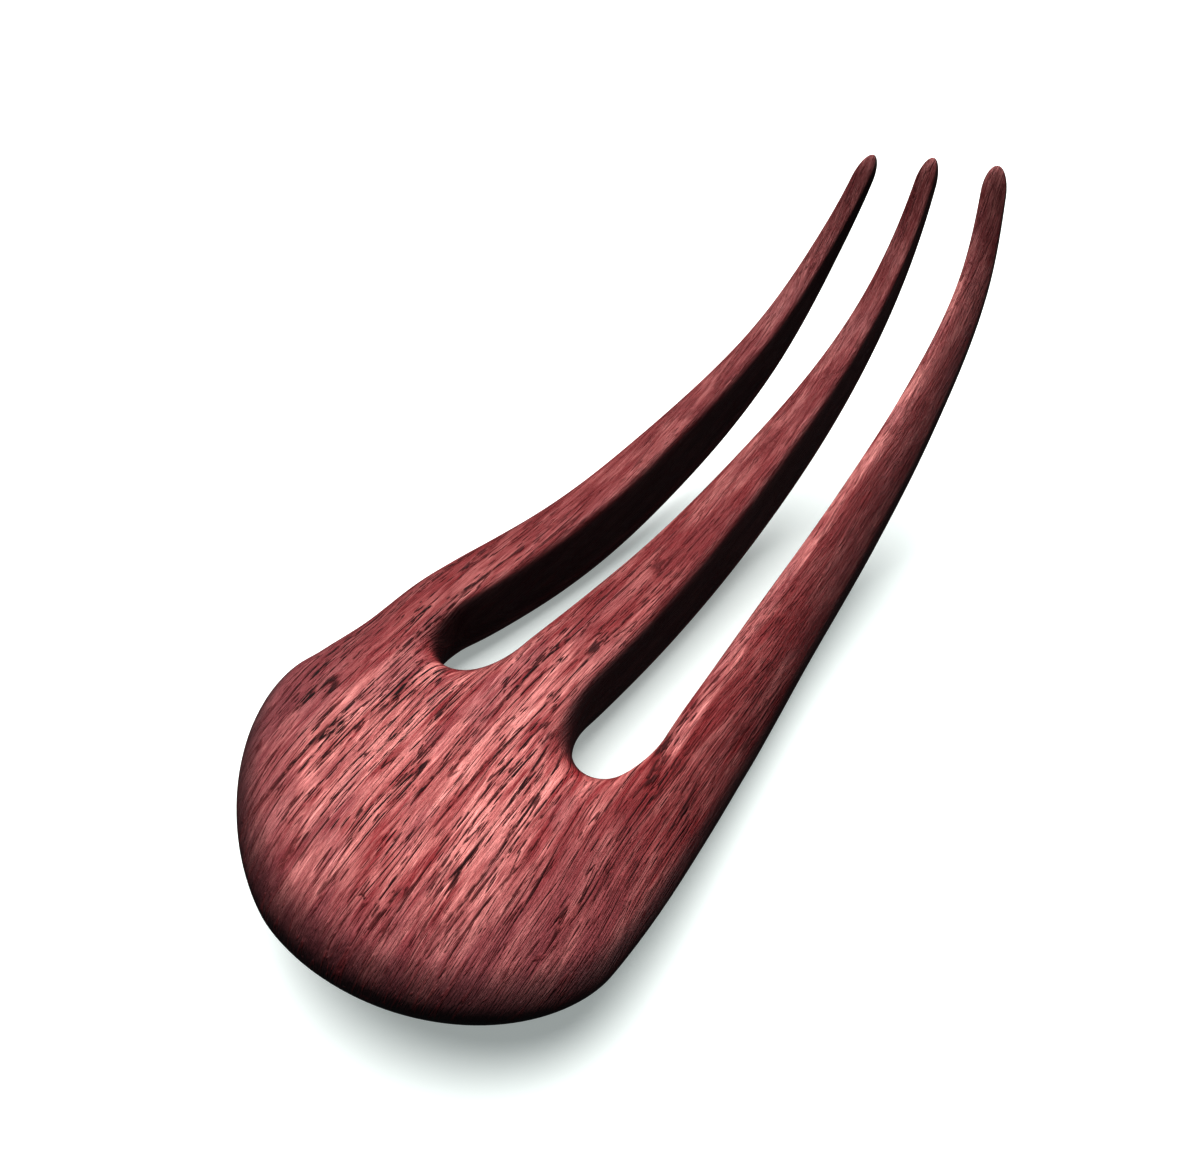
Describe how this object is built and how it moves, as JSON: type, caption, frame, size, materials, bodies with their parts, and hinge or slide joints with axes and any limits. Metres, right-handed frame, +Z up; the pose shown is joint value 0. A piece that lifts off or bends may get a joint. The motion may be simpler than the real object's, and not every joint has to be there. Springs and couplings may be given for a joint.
{
  "type": "hair fork",
  "caption": "Carved wooden hair fork with a rounded shield-shaped head, long tapering tines parted by deep slots, and small points that curve upward.",
  "frame": {"origin": "under the middle of the fork's box, on the surface it lies on", "axes": "+Y along the fork from the head to the tips, +X across it to the right, +Z up out of its top face"},
  "size_m": [0.0458, 0.1148, 0.0363],
  "materials": {
    "wood": "satin"
  },
  "bodies": {
    "root": {"hair_fork": "wood"}
  },
  "joints": []
}
